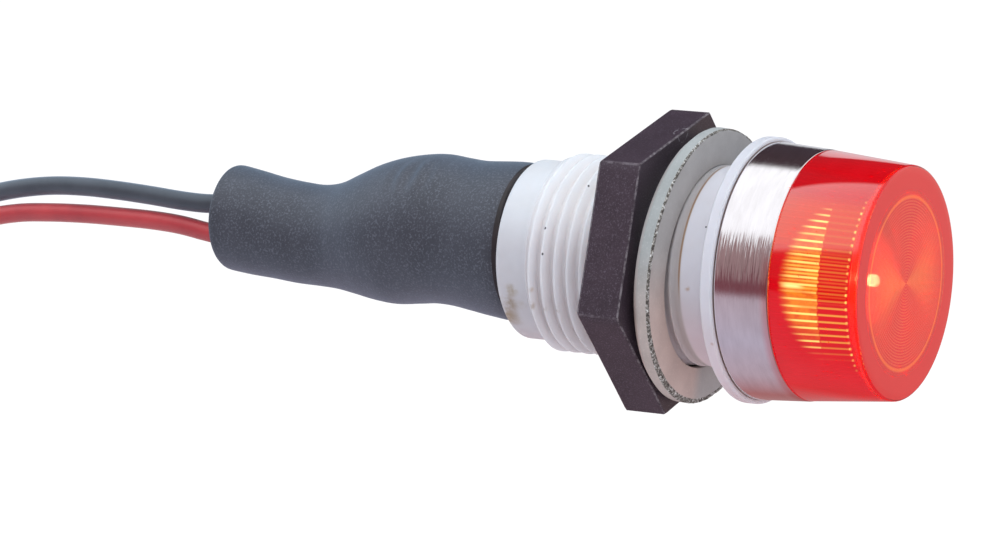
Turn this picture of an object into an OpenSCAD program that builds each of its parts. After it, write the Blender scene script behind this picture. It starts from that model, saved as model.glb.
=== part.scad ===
// Panel pilot light with a moulded body, a red fluted lens in a plated bezel
// ring, a loose sealing washer, a hexagon nut and two flying leads.
//
// The lamp's axis is horizontal and its lens faces -Y. The origin is on that
// axis, at the back face of the flange, where the panel sits. "Forward" below
// means towards the lens, and "back" towards the leads.

/* [Panel and thread] */
// Major diameter of the body's thread, and of the panel's hole
thread_d = 14; // [13.4:0.1:15]
// Pitch of the thread
pitch = 1; // [0.8:0.05:1.2]
// Number of thread grooves
thread_turns = 12; // [8:1:14]
// Length of the plain collar behind the flange
collar_len = 2.6; // [2.2:0.1:3]
// Extra length of the crest behind the last groove
last_crest = 0.3; // [0.1:0.05:0.5]
// Chamfer at the thread's back end, which leads the nut on
thread_chamfer = 0.25; // [0:0.05:0.4]

/* [Body] */
// How far the flange stands out past the bezel ring
flange_lip = 0.3; // [0.1:0.05:2]
// Thickness of the flange
flange_t = 0.85; // [0.6:0.05:1.5]
// Diameter of the plain length behind the thread
relief_d = 12.7; // [12:0.1:12.9]
// Length of that plain length
relief_len = 2.4; // [1.6:0.1:4]
// Diameter of the tail that the outer sleeve is shrunk on
tail_d = 7.7; // [7.2:0.1:8]
// Length of the tail
tail_len = 7.5; // [5:0.5:8]
// Wall of the tail
tail_wall = 0.85; // [0.5:0.05:1]
// Diameter of the bore that takes the lamp holder
lamp_bore_d = 10.2; // [9.6:0.1:10.8]
// Diameter of the bore through the threaded length
wire_bore_d = 8; // [6:0.5:9]
// Outer diameter of the nose that carries the lens
nose_d = 14.6; // [14:0.1:15]
// Length of the nose in front of the flange
nose_len = 3.4; // [2:0.1:3.6]
// Thickness of the nose's front rim
nose_rim_t = 0.8; // [0.5:0.1:1.2]

/* [Bezel ring] */
// Wall of the bezel ring next to the flange
bezel_wall = 0.9; // [0.7:0.05:1.2]
// How much thinner its wall is next to the lens
bezel_taper = 0.25; // [0:0.05:0.4]
// Length of the bezel ring
bezel_len = 3.9; // [3.6:0.1:5]
// Size of the rounding at its two outer edges
bezel_edge = 0.15; // [0.05:0.05:0.25]

/* [Lens] */
// Step down from the bezel ring to the lens
lens_step = 0.05; // [0:0.01:0.2]
// How much smaller in radius the lens is at its face
lens_taper = 0.55; // [0.2:0.05:0.8]
// Length of the lens in front of the bezel ring
lens_len = 6.15; // [5.75:0.05:8]
// Radius of the edge round the face
lens_edge_r = 0.2; // [0.1:0.05:0.6]
// Thickness of the face
lens_face_t = 0.9; // [0.8:0.1:2]
// Wall of the lens at the back, at the bottom of its flutes
lens_wall = 1.5; // [1.3:0.1:1.6]
// Depth of the flutes inside the lens
flute_depth = 0.25; // [0.1:0.05:0.3]
// Number of flutes
flute_count = 96; // [60:6:120]
// Wall of the skirt that sits between the nose and the bezel ring
skirt_wall = 0.6; // [0.4:0.05:0.65]
// Diameter of the outermost ring moulded inside the face
face_ring_d = 11.8; // [9:0.1:12.2]
// Number of rings moulded inside the face
face_ring_count = 9; // [4:1:12]
// Depth of those rings
face_ring_depth = 0.12; // [0.05:0.01:0.2]

/* [Nut and washer] */
// Width of the nut across its flats
nut_af = 18.5; // [17.5:0.1:20]
// Thickness of the nut
nut_t = 3.2; // [2.5:0.1:4]
// Chamfer on the corners of the nut's back
nut_chamfer = 0.2; // [0.1:0.05:0.6]
// Turn of the nut about the axis, in degrees
nut_turn = 12.3; // [0:0.1:60]
// Gap from the flange to the nut, as the nut is set
nut_gap = 5.55; // [5.4:0.05:7]
// Diameter of the sealing washer
washer_d = 19.2; // [18:0.1:20]
// Thickness of the sealing washer
washer_t = 1.25; // [1:0.05:1.3]
// Chamfer on the back edge of the washer
washer_chamfer = 0.4; // [0.1:0.05:0.5]
// Forward lean of the loose washer, in degrees
washer_lean = 3.6; // [0:0.1:4]

/* [Lamp] */
// Diameter of the lamp's dome
lamp_d = 5; // [4.6:0.1:5.2]
// Diameter of the lamp's flange
lamp_flange_d = 5.9; // [5.6:0.1:6.4]
// Thickness of the lamp's flange
lamp_flange_t = 1; // [0.6:0.1:1.5]
// Height of the lamp, from the back of its flange to the top of its dome
lamp_h = 8.6; // [7.6:0.1:8.8]
// Distance from the flange of the body forward to the back of the lamp
lamp_seat = -0.5; // [-1:0.1:0]
// Length of the lamp holder behind the lamp
holder_len = 4.5; // [3:0.1:8]
// Depth of the pocket in the holder that takes the lamp's flange
pocket_depth = 2; // [1.2:0.1:2.2]
// Distance between the lamp's two legs
leg_pitch = 2.54; // [2.4:0.01:2.7]
// Thickness of a leg
leg_t = 0.5; // [0.4:0.05:0.6]
// Length of the legs
leg_len = 23.5; // [20:0.5:25]

/* [Wiring] */
// Diameter of a lead over its insulation
lead_d = 1.4; // [1.2:0.05:1.5]
// Diameter of a lead's tinned strands
strand_d = 0.6; // [0.5:0.05:0.7]
// Length of the bare strands at a lead's far end
bare_len = 5; // [3:0.5:8]
// Diameter of the resistor
resistor_d = 2.4; // [1.8:0.1:2.5]
// Length of the resistor
resistor_len = 6.5; // [5:0.1:6.8]
// Diameter of the resistor's wires
resistor_wire_d = 0.6; // [0.45:0.05:0.7]
// Length of each of the resistor's wires
resistor_wire_len = 4; // [3.6:0.1:4.4]
// Diameter of a solder joint
solder_d = 1.2; // [1:0.1:1.3]
// Length of a solder joint
solder_len = 2.4; // [1.8:0.1:2.8]
// Wall of the two inner sleeves
inner_sleeve_wall = 0.25; // [0.2:0.01:0.26]
// Wall of the outer sleeve
outer_sleeve_wall = 0.6; // [0.4:0.05:0.65]
// Length of the outer sleeve
outer_sleeve_len = 25.25; // [24:0.25:27]

/* [Hidden] */
// Clearance between pieces that are pushed together
fit_gap = 0.05;
// Radial clearance of the nut on the thread, and of the washer round it
nut_gap_r = 0.05;
washer_bore_gap = 0.15;
// How far the loose washer hangs down, and how near the nut its rim comes
washer_drop = 0.05;
washer_nut_gap = 0.05;

// Thread form: depth of a groove, and the flats at its crest and root
groove_depth = 0.61 * pitch;
crest_flat = pitch / 8;
root_flat = pitch / 4;

// Places along the axis, counted forward from the flange's back face
thread_back = -collar_len - thread_turns * pitch - last_crest;
relief_back = thread_back - relief_len;
tail_back = relief_back - tail_len;
nose_front = flange_t + nose_len;
bezel_back = flange_t + fit_gap;
bezel_front = bezel_back + bezel_len;
lens_back = bezel_front + fit_gap;
face = lens_back + lens_len;
face_inside = face - lens_face_t;
skirt_back = bezel_back;
nut_front = -nut_gap;
nut_back = nut_front - nut_t;
holder_front = lamp_seat + pocket_depth;
holder_back = lamp_seat - holder_len;
dome_centre = lamp_seat + lamp_h - lamp_d / 2;
leg_end = lamp_seat - leg_len;
sleeve_front = relief_back - fit_gap;
sleeve_back = sleeve_front - outer_sleeve_len;

// Radii that follow from the fits
tail_bore_r = tail_d / 2 - tail_wall;
skirt_bore_r = nose_d / 2 + fit_gap;
skirt_r = skirt_bore_r + skirt_wall;
bezel_bore_r = skirt_r + fit_gap;
bezel_back_r = bezel_bore_r + bezel_wall;
bezel_front_r = bezel_back_r - bezel_taper;
lens_back_r = bezel_front_r - lens_step;
lens_front_r = lens_back_r - lens_taper;
flange_r = bezel_back_r + flange_lip;
holder_r = lamp_bore_d / 2 - fit_gap;
pocket_r = lamp_flange_d / 2 + fit_gap;
nut_bore_r = thread_d / 2 + nut_gap_r;
nut_corner_r = nut_af / sqrt(3);
washer_bore_r = thread_d / 2 + washer_bore_gap;
flute_root_r = lens_back_r - lens_wall;
flute_tip_r = flute_root_r - flute_depth;

// The washer leans until the foot of its back edge is beside the nut
washer_centre = nut_front + washer_nut_gap
    + (washer_d / 2 - washer_chamfer) * sin(washer_lean)
    + washer_t / 2 * cos(washer_lean);

// Heights of the two wiring runs, and where each piece of them ends
positive_z = -leg_pitch / 2;
negative_z = leg_pitch / 2;
resistor_front = leg_end - resistor_wire_len;
resistor_back = resistor_front - resistor_len;
resistor_end = resistor_back - resistor_wire_len;
strand_len = 1.5;
red_start = resistor_end - strand_len;
black_start = leg_end - strand_len;
inner_sleeve_end = red_start - 1;
positive_sleeve_front = leg_end + 1.6;
negative_sleeve_front = leg_end + 1.6;
positive_sleeve_bore_r = resistor_d / 2 + fit_gap;
negative_sleeve_bore_r = lead_d / 2 + fit_gap;

// Outline of the outer sleeve: how far each ring lies behind the sleeve's
// front end, its outer radius, and how far its centre is above the axis
SLEEVE_RINGS = [
    [0, 5, 0.45], [0.4, 5.34, 0.42], [0.7, 5.58, 0.4], [1.6, 5.63, 0.4],
    [3.2, 5.5, 0.45], [4.7, 5.35, 0.55], [6.2, 5.3, 0.72], [7.7, 5.34, 0.8],
    [9.2, 5.35, 0.65], [11, 5.25, 0.4], [12.7, 4.9, 0.2], [14.3, 4.4, -0.05],
    [16, 3.9, -0.35], [17.7, 3.7, -0.5], [19.5, 3.7, -0.45], [21.5, 3.7, -0.25],
    [23.5, 3.8, 0], [24.95, 3.85, 0.2], [outer_sleeve_len, 3.78, 0.25]
];
sleeve_sides = 32;

// Routes of the leads' centrelines, as [right, back, up]
BLACK_ROUTE = [
    [0, -black_start, negative_z], [0, 30, negative_z], [0, 34, negative_z],
    [0, 38, negative_z], [0, 41, negative_z], [0, 43, 1.22], [0, 45.2, 1.05],
    [0, 47.5, 1.1], [0, 50, 1.27], [0, 53, 1.42], [0, 56, 1.47], [0.1, 59, 1.3],
    [0.1, 62, 0.85], [0.2, 65, 0.1], [0.3, 67.8, -1], [0.4, 70.3, -2.6],
    [0.5, 72.4, -4.8], [0.6, 74, -7.6], [0.7, 75.1, -10.8], [0.8, 75.7, -14.3],
    [0.9, 76, -18], [1, 76.1, -22], [1.1, 76.2, -26], [1.2, 76.2, -30],
    [1.3, 76.1, -34], [1.4, 76, -38], [1.4, 75.9, -42], [1.3, 75.9, -46],
    [1.2, 75.9, -50], [1.1, 76, -54], [1, 76.1, -58], [1, 76.2, -62],
    [1, 76.2, -66], [1, 76.2, -70], [1, 76.2, -73]
];
RED_ROUTE = [
    [0, -red_start, positive_z], [0, 43.2, positive_z], [0, 45.2, -1.05],
    [0, 47.5, -0.72], [0, 50, -0.57], [0, 53, -0.55], [0, 56, -0.58],
    [-0.1, 59, -0.7], [-0.1, 62, -0.98], [-0.2, 64.8, -1.6], [-0.3, 67.2, -2.7],
    [-0.4, 69.3, -4.3], [-0.5, 71, -6.5], [-0.6, 72.2, -9.3], [-0.7, 72.9, -12.6],
    [-0.8, 73.2, -16], [-0.9, 73.3, -20], [-1, 73.3, -24], [-1.2, 73.2, -28],
    [-1.3, 73.2, -32], [-1.4, 73.1, -36], [-1.4, 73.1, -40], [-1.4, 73.2, -44],
    [-1.3, 73.3, -48], [-1.2, 73.4, -52], [-1.1, 73.4, -56], [-1, 73.4, -60],
    [-1, 73.3, -64], [-1, 73.3, -68], [-1, 73.3, -71]
];
lead_sides = 8;

// ---- Helpers ----

// Stands what is turned about Z on the lamp's own axis, forward along -Y
module on_axis() {
    rotate([90, 0, 0]) children();
}

// A solid of revolution from [radius, forward] points
module turned(points, fn = 96) {
    on_axis() rotate_extrude($fn = fn) polygon(points);
}

// A round rod between two places along the axis, at a height
module rod(d, back, front, up = 0) {
    on_axis() translate([0, up, back]) cylinder(d = d, h = front - back, $fn = 32);
}

// A tube between two places along the axis, at a height
module tube(r_out, r_in, back, front, up = 0) {
    difference() {
        rod(2 * r_out, back, front, up);
        rod(2 * r_in, back - 1, front + 1, up);
    }
}

// A square leg between two places along the axis, at a height
module leg(back, front, up) {
    on_axis() translate([-leg_t / 2, up - leg_t / 2, back])
        cube([leg_t, leg_t, front - back]);
}

// Joins rings of points, each with the same count, into a closed skin. The
// last ring joins the first again when the rings go round a hollow wall.
module ring_skin(rings, closed = false) {
    sides = len(rings[0]);
    count = len(rings);
    last = closed ? count - 1 : count - 2;
    points = [for (ring = rings) for (p = ring) p];
    walls = [for (i = [0:last]) for (k = [0:sides - 1])
        let (a = i * sides, b = ((i + 1) % count) * sides, n = (k + 1) % sides)
        each [[a + k, a + n, b + n], [a + k, b + n, b + k]]];
    ends = closed ? [] : [
        [for (k = [sides - 1:-1:0]) k],
        [for (k = [0:sides - 1]) (count - 1) * sides + k]
    ];
    polyhedron(points = points, faces = concat(walls, ends), convexity = 6);
}

function unit(v) = v / norm(v);

// Direction of a route at one of its points
function heading(route, i) =
    unit(route[min(i + 1, len(route) - 1)] - route[max(i - 1, 0)]);

// Points round a route at one of its points, square to the heading
function route_ring(route, i, r, sides) =
    let (t = heading(route, i),
         side = unit([1, 0, 0] - t * t[0]),
         up = cross(side, t))
    [for (k = [0:sides - 1]) let (a = 360 * (k + 0.5) / sides)
        route[i] + r * (cos(a) * side + sin(a) * up)];

// ---- Body ----

// Both sides of every groove of the thread, from the front to the back
function thread_outline() =
    let (r = thread_d / 2, root = r - groove_depth, slope = (pitch - crest_flat - root_flat) / 2)
    [for (i = [0:thread_turns - 1]) let (s = -collar_len - i * pitch)
        each [[r, s], [root, s - slope], [root, s - slope - root_flat],
              [r, s - pitch + crest_flat]]];

module body() {
    shoulder = holder_back;
    color("ivory") turned(concat(
        [[lamp_bore_d / 2, nose_front - nose_rim_t], [nose_d / 2 - nose_rim_t, nose_front],
         [nose_d / 2, nose_front], [nose_d / 2, flange_t], [flange_r, flange_t],
         [flange_r, 0], [thread_d / 2, 0]],
        thread_outline(),
        [[thread_d / 2, thread_back + thread_chamfer],
         [thread_d / 2 - thread_chamfer, thread_back], [relief_d / 2, thread_back],
         [relief_d / 2, relief_back], [tail_d / 2, relief_back],
         [tail_d / 2, tail_back], [tail_bore_r, tail_back], [tail_bore_r, relief_back],
         [wire_bore_d / 2, relief_back + tail_wall], [wire_bore_d / 2, shoulder],
         [lamp_bore_d / 2, shoulder]]
    ), 120);
}

// ---- Bezel ring ----

module bezel_ring() {
    color("gainsboro") turned([
        [bezel_bore_r, bezel_back], [bezel_back_r - bezel_edge, bezel_back],
        [bezel_back_r, bezel_back + bezel_edge], [bezel_front_r, bezel_front - bezel_edge],
        [bezel_front_r - bezel_edge, bezel_front], [bezel_bore_r, bezel_front]
    ], 120);
}

// ---- Lens ----

// Outside of the lens: skirt, taper, rounded edge and flat face
function lens_outline() =
    let (r = lens_front_r, e = lens_edge_r)
    concat(
        [[0, face], [r - e, face]],
        [for (a = [75:-15:0]) [r - e + e * cos(a), face - e + e * sin(a)]],
        [[lens_back_r, lens_back], [skirt_r, lens_back], [skirt_r, skirt_back],
         [skirt_bore_r, skirt_back], [skirt_bore_r, nose_front + fit_gap],
         [flute_tip_r, nose_front + fit_gap], [flute_tip_r, face_inside], [0, face_inside]]
    );

// The hollow between the flutes, as a many-pointed star
function flute_star() =
    [for (k = [0:2 * flute_count - 1])
        let (a = 180 * k / flute_count, r = k % 2 == 0 ? flute_root_r : flute_tip_r - 0.02)
        [r * cos(a), r * sin(a)]];

// One ring-shaped groove in the inside of the face
module face_ring(r, w) {
    turned([[r - w / 2, face_inside - 0.1], [r + w / 2, face_inside - 0.1],
            [r + w / 2, face_inside], [r, face_inside + face_ring_depth],
            [r - w / 2, face_inside]]);
}

module lens() {
    ring_step = face_ring_d / 2 / face_ring_count;
    color([0.85, 0.1, 0.08]) difference() {
        turned(lens_outline(), 120);
        on_axis() translate([0, 0, nose_front + fit_gap])
            linear_extrude(height = face_inside - nose_front - fit_gap)
                polygon(flute_star());
        for (i = [1:face_ring_count]) face_ring(i * ring_step, ring_step * 0.7);
    }
}

// ---- Nut and washer ----

module mounting_nut() {
    color([0.22, 0.19, 0.22]) difference() {
        intersection() {
            on_axis() translate([0, 0, nut_back]) rotate([0, 0, nut_turn])
                cylinder(r = nut_corner_r, h = nut_t, $fn = 6);
            turned([[0, nut_back], [nut_corner_r - nut_chamfer * 1.7, nut_back],
                    [nut_corner_r + 0.1, nut_back + nut_chamfer * 1.2],
                    [nut_corner_r + 0.1, nut_front], [0, nut_front]]);
        }
        rod(2 * nut_bore_r, nut_back - 1, nut_front + 1);
    }
}

module sealing_washer() {
    r = washer_d / 2;
    h = washer_t / 2;
    color([0.66, 0.67, 0.65])
        translate([0, -washer_centre, -washer_drop]) rotate([washer_lean, 0, 0])
            turned([[washer_bore_r, -h], [r - washer_chamfer, -h], [r, washer_chamfer - h],
                    [r, h], [washer_bore_r, h]], 120);
}

// ---- Lamp and its holder ----

module lamp_holder() {
    color([0.9, 0.9, 0.86]) difference() {
        rod(2 * holder_r, holder_back, holder_front);
        rod(2 * pocket_r, lamp_seat, holder_front + 1);
        for (up = [positive_z, negative_z])
            rod(leg_t * sqrt(2) + 2 * fit_gap, holder_back - 1, lamp_seat + 1, up);
    }
}

module led_lamp() {
    color([1, 0.45, 0.3]) union() {
        rod(lamp_flange_d, lamp_seat, lamp_seat + lamp_flange_t);
        rod(lamp_d, lamp_seat, dome_centre);
        on_axis() translate([0, 0, dome_centre]) sphere(d = lamp_d, $fn = 48);
    }
}

module anode_leg() {
    color("silver") leg(leg_end, lamp_seat, positive_z);
}

module cathode_leg() {
    color("silver") leg(leg_end, lamp_seat, negative_z);
}

// ---- Resistor ----

module resistor() {
    cap = resistor_d / 4;
    color([0.45, 0.65, 0.75]) union() {
        rod(resistor_d, resistor_back, resistor_back + 2 * cap, positive_z);
        rod(resistor_d, resistor_front - 2 * cap, resistor_front, positive_z);
        rod(resistor_d * 0.85, resistor_back, resistor_front, positive_z);
    }
}

module resistor_front_wire() {
    color("silver") rod(resistor_wire_d, resistor_front, leg_end, positive_z);
}

module resistor_back_wire() {
    color("silver") rod(resistor_wire_d, resistor_end, resistor_back, positive_z);
}

// ---- Solder joints, each round two wire ends that meet ----

module solder_bead(middle, up) {
    r = solder_d / 2;
    half = solder_len / 2 - r;
    rod(solder_d, middle - half, middle + half, up);
    for (end = [-half, half])
        on_axis() translate([0, up, middle + end]) sphere(r = r, $fn = 32);
}

module anode_solder() {
    color("lightgray") difference() {
        solder_bead(leg_end, positive_z);
        anode_leg();
        resistor_front_wire();
    }
}

module red_solder() {
    color("lightgray") difference() {
        solder_bead(resistor_end, positive_z);
        resistor_back_wire();
        red_inner_strands();
    }
}

module black_solder() {
    color("lightgray") difference() {
        solder_bead(leg_end, negative_z);
        cathode_leg();
        black_inner_strands();
    }
}

// ---- Sleeves ----

module positive_inner_sleeve() {
    color("white") tube(positive_sleeve_bore_r + inner_sleeve_wall, positive_sleeve_bore_r,
        inner_sleeve_end, positive_sleeve_front, positive_z);
}

module negative_inner_sleeve() {
    color("white") tube(negative_sleeve_bore_r + inner_sleeve_wall, negative_sleeve_bore_r,
        inner_sleeve_end, negative_sleeve_front, negative_z);
}

// One ring of the outer sleeve's skin, inside it by inset
function sleeve_ring(ring, inset) =
    [for (k = [0:sleeve_sides - 1]) let (a = 360 * k / sleeve_sides, r = ring[1] - inset)
        [r * cos(a), ring[0] - sleeve_front, ring[2] + r * sin(a)]];

module outer_sleeve() {
    count = len(SLEEVE_RINGS);
    outside = [for (i = [0:count - 1]) sleeve_ring(SLEEVE_RINGS[i], 0)];
    inside = [for (i = [count - 1:-1:0]) sleeve_ring(SLEEVE_RINGS[i], outer_sleeve_wall)];
    color([0.27, 0.3, 0.34]) ring_skin(concat(outside, inside), closed = true);
}

// ---- Leads ----

module lead(route) {
    ring_skin([for (i = [0:len(route) - 1]) route_ring(route, i, lead_d / 2, lead_sides)]);
}

// Bare strands that hang straight down from the end of a route
module bare_end(route) {
    end = route[len(route) - 1];
    color("silver") translate([end[0], end[1], end[2] - bare_len])
        cylinder(d = strand_d, h = bare_len, $fn = 24);
}

module red_lead() {
    color([0.8, 0.08, 0.12]) lead(RED_ROUTE);
}

module black_lead() {
    color([0.15, 0.17, 0.18]) lead(BLACK_ROUTE);
}

module red_bare_end() {
    bare_end(RED_ROUTE);
}

module black_bare_end() {
    bare_end(BLACK_ROUTE);
}

module red_inner_strands() {
    color("silver") rod(strand_d, red_start, resistor_end, positive_z);
}

module black_inner_strands() {
    color("silver") rod(strand_d, black_start, leg_end, negative_z);
}

body();
bezel_ring();
lens();
mounting_nut();
sealing_washer();
lamp_holder();
led_lamp();
anode_leg();
cathode_leg();
resistor();
resistor_front_wire();
resistor_back_wire();
anode_solder();
red_solder();
black_solder();
positive_inner_sleeve();
negative_inner_sleeve();
outer_sleeve();
red_inner_strands();
black_inner_strands();
red_lead();
black_lead();
red_bare_end();
black_bare_end();
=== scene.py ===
import math

import bmesh
import bpy
import numpy as np
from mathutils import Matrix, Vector, noise


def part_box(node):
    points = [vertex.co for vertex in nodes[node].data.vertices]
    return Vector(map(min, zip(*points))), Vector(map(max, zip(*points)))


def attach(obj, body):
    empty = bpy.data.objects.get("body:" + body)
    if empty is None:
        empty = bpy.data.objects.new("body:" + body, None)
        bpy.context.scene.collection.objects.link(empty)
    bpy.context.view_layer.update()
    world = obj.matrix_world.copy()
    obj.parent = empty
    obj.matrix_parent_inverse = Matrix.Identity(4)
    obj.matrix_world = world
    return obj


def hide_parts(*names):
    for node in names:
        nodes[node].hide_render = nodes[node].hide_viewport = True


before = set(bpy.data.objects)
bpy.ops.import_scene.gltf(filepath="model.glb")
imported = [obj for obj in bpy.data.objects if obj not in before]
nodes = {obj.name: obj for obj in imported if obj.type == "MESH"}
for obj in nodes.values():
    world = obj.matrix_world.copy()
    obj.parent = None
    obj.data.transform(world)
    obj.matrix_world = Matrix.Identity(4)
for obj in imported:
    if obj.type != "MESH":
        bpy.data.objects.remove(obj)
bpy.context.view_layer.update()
MM = 0.001
PI = math.pi

# Lengths below are in millimetres, in the frame of the solids. "s" counts forward
# from the back of the flange, so y = -s. Angles go from the top towards -X.

# ---- sizes


def box_mm(node):
    """A CAD node's lowest and highest corners, in mm."""
    low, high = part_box(node)
    return np.array(low) / MM, np.array(high) / MM


_, body_high = box_mm("body")
bezel_low, bezel_high = box_mm("bezel_ring")
lens_low, lens_high = box_mm("lens")
nut_low, nut_high = box_mm("mounting_nut")
washer_low, washer_high = box_mm("sealing_washer")
sleeve_low, _ = box_mm("outer_sleeve")
lamp_low, lamp_high = box_mm("led_lamp")
strand_low, strand_high = box_mm("red_bare_end")

# Places and radii are read from the boxes where those show them. The rest are
# the solids' own sizes.
FIT_GAP = 0.05
THREAD_R = 7.0
PITCH = 1.0
COLLAR = 2.6
FLANGE_R = body_high[2]
FLANGE_T = 0.85
THREAD_BACK = -14.9
RELIEF_R = 6.33
RELIEF_BACK = -17.3
TAIL_R = 3.85
TAIL_BORE = 3.0
TAIL_BACK = -body_high[1]
WIRE_BORE = 4.0
LAMP_BORE = 5.1
LAMP_BORE_BACK = -5.0
NOSE_R = 7.3
NOSE_FRONT = 4.25
BEZEL_BACK = -bezel_high[1]
BEZEL_FRONT = -bezel_low[1]
BEZEL_R = bezel_high[2]
BEZEL_FRONT_R = BEZEL_R - 0.25
BEZEL_BORE = 8.0
LENS_BACK = BEZEL_FRONT + FIT_GAP
FACE = -lens_low[1]
LENS_R = 8.6
LENS_FRONT_R = 8.05
FACE_T = 0.9
# the skirt is as wide as the lens, so it runs on unseen inside the wall of the ring
SKIRT_R = lens_high[2]
SKIRT_BORE = NOSE_R + FIT_GAP
NUT_FRONT = -nut_low[1]
NUT_BACK = -nut_high[1]
NUT_AF = 18.5
NUT_TURN = math.radians(12.3)
WASHER_R = (washer_high[0] - washer_low[0]) / 2
WASHER_T = 1.25
WASHER_CHAMFER = 0.4
WASHER_LEAN = math.radians(3.6)
SLEEVE_FRONT = sleeve_low[1]
SLEEVE_WALL = 0.6
LEAD_R = 0.7
BARE_LEN = strand_high[2] - strand_low[2]


# ---- meshes


def mesh_object(name, points, faces, auto_angle=None, outward=True):
    """A smooth-shaded mesh from points in mm, its faces turned outwards."""
    mesh = bpy.data.meshes.new(name)
    mesh.from_pydata([tuple(c * MM for c in p) for p in points], [], faces)
    mesh.validate()
    bm = bmesh.new()
    bm.from_mesh(mesh)
    if outward and bm.calc_volume(signed=True) < 0:
        bmesh.ops.reverse_faces(bm, faces=bm.faces)
    bm.to_mesh(mesh)
    bm.free()
    mesh.update()
    obj = bpy.data.objects.new(name, mesh)
    bpy.context.scene.collection.objects.link(obj)
    mesh.polygons.foreach_set("use_smooth", [True] * len(mesh.polygons))
    if auto_angle is not None:
        mesh.set_sharp_from_angle(angle=math.radians(auto_angle))
    return obj


def bridge(a, n, b, m):
    """Faces from a ring of n points starting at a to one of m points at b."""
    if n == m:
        return [(a + k, b + k, b + (k + 1) % n, a + (k + 1) % n) for k in range(n)]
    if n < m:
        return [face[::-1] for face in bridge(b, m, a, n)]
    per = n // m
    faces = []
    for i in range(m):
        last = a + (i + 1) * per % n
        faces += [
            (a + i * per + j, b + i, a + (i * per + j + 1) % n) for j in range(per)
        ]
        faces.append((last, b + i, b + (i + 1) % m))
    return faces


def loft(name, rings, closed=False, tips=None, auto_angle=None):
    """A skin over rings of points; tips are the points that close its two ends."""
    points = []
    starts = []
    for ring in rings:
        starts.append(len(points))
        points += ring
    faces = []
    pairs = list(zip(range(len(rings)), range(1, len(rings))))
    if closed:
        pairs.append((len(rings) - 1, 0))
    for i, j in pairs:
        faces += bridge(starts[i], len(rings[i]), starts[j], len(rings[j]))
    if tips:
        first, last = len(rings[0]), len(rings[-1])
        tip = len(points)
        points += tips
        faces += [(k, (k + 1) % first, tip) for k in range(first)]
        faces += [(starts[-1] + (k + 1) % last, starts[-1] + k, tip + 1) for k in range(last)]
    return mesh_object(name, points, faces, auto_angle)


def circle(r, s, sides, offset=(0, 0)):
    """A ring about the lamp's axis, from the top towards -X."""
    out = []
    for k in range(sides):
        t = 2 * PI * k / sides
        rr = r(t) if callable(r) else r
        out.append((offset[0] - rr * math.sin(t), -s, offset[1] + rr * math.cos(t)))
    return out


def turned(name, profile, sides, auto_angle=40):
    """A solid of revolution from a closed profile of (radius, s) points."""
    rings = [circle(r, s, sides) for r, s in profile]
    return loft(name, rings, closed=True, auto_angle=auto_angle)


def smooth_route(route, per=6):
    """A Catmull-Rom curve through the route's points."""
    p = [np.array(q, float) for q in route]
    p = [2 * p[0] - p[1]] + p + [2 * p[-1] - p[-2]]
    out = []
    for i in range(1, len(p) - 2):
        a, b, c, d = p[i - 1 : i + 3]
        for j in range(per):
            t = j / per
            line = 2 * b + (c - a) * t
            square = (2 * a - 5 * b + 4 * c - d) * t * t
            cube = (3 * b - a - 3 * c + d) * t**3
            out.append(0.5 * (line + square + cube))
    out.append(p[-2])
    return out


def tube_rings(line, radius, sides):
    """Rings of points round a line, square to it and without twist."""
    rings = []
    side = np.array([1.0, 0, 0])
    for i, centre in enumerate(line):
        t = line[min(i + 1, len(line) - 1)] - line[max(i - 1, 0)]
        t = t / np.linalg.norm(t)
        side = side - t * (side @ t)
        side = side / np.linalg.norm(side)
        up = np.cross(side, t)
        angles = [2 * PI * k / sides for k in range(sides)]
        rings.append(
            [tuple(centre + radius * (math.cos(a) * side + math.sin(a) * up)) for a in angles]
        )
    return rings


# ---- materials


class Nodes:
    """A node tree with short cuts for the nodes that are used most."""

    def __init__(self, tree):
        self.tree = tree

    def new(self, kind, **props):
        node = self.tree.nodes.new(kind)
        for key, value in props.items():
            setattr(node, key, value)
        return node

    def link(self, a, b):
        self.tree.links.new(a, b)

    def put(self, socket, value):
        """Links the value if it is another node's output, and sets it if not."""
        if hasattr(value, "is_output"):
            self.link(value, socket)
        else:
            socket.default_value = value

    def put_color(self, socket, value):
        self.put(socket, value if hasattr(value, "is_output") else (*value, 1))

    def math(self, op, a, b=0.0, clamp=False):
        n = self.new("ShaderNodeMath", operation=op, use_clamp=clamp)
        self.put(n.inputs[0], a)
        self.put(n.inputs[1], b)
        return n.outputs[0]

    def ramp(self, fac, stops):
        """A colour ramp through (position, colour or grey) stops."""
        n = self.new("ShaderNodeValToRGB")
        while len(n.color_ramp.elements) < len(stops):
            n.color_ramp.elements.new(0.5)
        for e, (pos, col) in zip(n.color_ramp.elements, stops):
            e.position = pos
            e.color = (col, col, col, 1) if isinstance(col, (int, float)) else (*col, 1)
        self.link(fac, n.inputs["Fac"])
        return n.outputs["Color"]

    def mix_shader(self, fac, a, b):
        n = self.new("ShaderNodeMixShader")
        self.put(n.inputs[0], fac)
        self.link(a, n.inputs[1])
        self.link(b, n.inputs[2])
        return n.outputs[0]


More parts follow.
